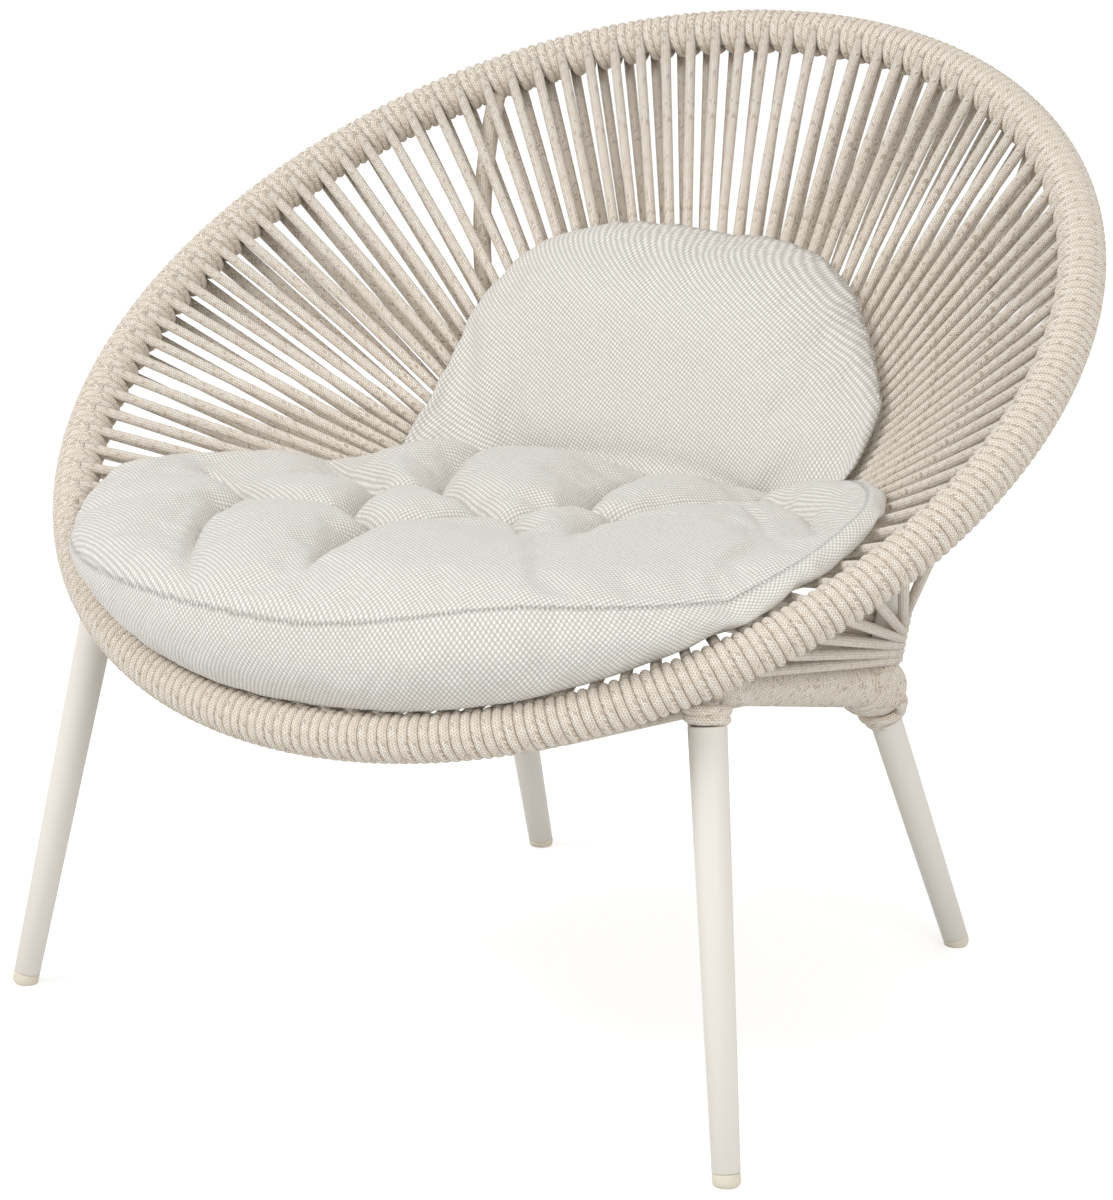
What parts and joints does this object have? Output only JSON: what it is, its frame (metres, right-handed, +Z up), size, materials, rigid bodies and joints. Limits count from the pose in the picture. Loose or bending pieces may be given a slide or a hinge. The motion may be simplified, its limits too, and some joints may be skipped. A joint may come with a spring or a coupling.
{
  "type": "round rope lounge chair",
  "caption": "Low round lounge chair: a tilted hoop with radiating cord strands, a small seat ring, splayed tapered legs and loose tufted cushions.",
  "frame": {"origin": "on the floor, under the middle of the hoop in width and near the middle in depth", "axes": "+Z up, -Y the front of the seat, +X to the right of someone who looks at the front"},
  "size_m": [0.8396, 0.7266, 0.7353],
  "materials": {
    "frame_paint": "matt powder coat, warm off-white, mostly under the cord",
    "leg_paint": "fine matt powder coat, warm off-white",
    "zinc_steel": "zinc plated",
    "cord": "round braided outdoor cord, beige and off-white yarns mixed",
    "cushion_fabric": "light grey and off-white basket weave",
    "foot_plastic": "moulded, matt cream"
  },
  "bodies": {
    "root": {"rim_tube": "frame_paint", "seat_ring_tube": "frame_paint", "strut_left": "cord", "side_rail_left": "frame_paint", "strut_right": "cord", "side_rail_right": "frame_paint", "rear_arch": "frame_paint", "front_leg_left_socket": "frame_paint", "front_leg_left_stud": "zinc_steel", "front_leg_left": "leg_paint", "front_leg_left_foot_cap": "foot_plastic", "front_leg_left_cord_collar": "cord", "front_leg_right_socket": "frame_paint", "front_leg_right_stud": "zinc_steel", "front_leg_right": "leg_paint", "front_leg_right_foot_cap": "foot_plastic", "front_leg_right_cord_collar": "cord", "rear_leg_left_socket": "frame_paint", "rear_leg_left_stud": "zinc_steel", "rear_leg_left": "leg_paint", "rear_leg_left_foot_cap": "foot_plastic", "rear_leg_left_cord_collar": "cord", "rear_leg_right_socket": "frame_paint", "rear_leg_right_stud": "zinc_steel", "rear_leg_right": "leg_paint", "rear_leg_right_foot_cap": "foot_plastic", "rear_leg_right_cord_collar": "cord", "rim_cord_front_left": "cord", "rim_cord_front_right": "cord", "rim_cord_back_left": "cord", "rim_cord_back_right": "cord", "strand_panel_01": "cord", "strand_panel_02": "cord", "strand_panel_03": "cord", "strand_panel_04": "cord", "strand_panel_05": "cord", "strand_panel_06": "cord", "strand_panel_07": "cord", "strand_panel_08": "cord", "strand_panel_09": "cord", "strand_panel_10": "cord", "strand_panel_11": "cord", "strand_panel_12": "cord", "rail_cord_left": "cord", "side_cords_left": "cord", "rail_cord_right": "cord", "side_cords_right": "cord", "seat_cushion": "cushion_fabric", "back_cushion": "cushion_fabric"}
  },
  "joints": []
}
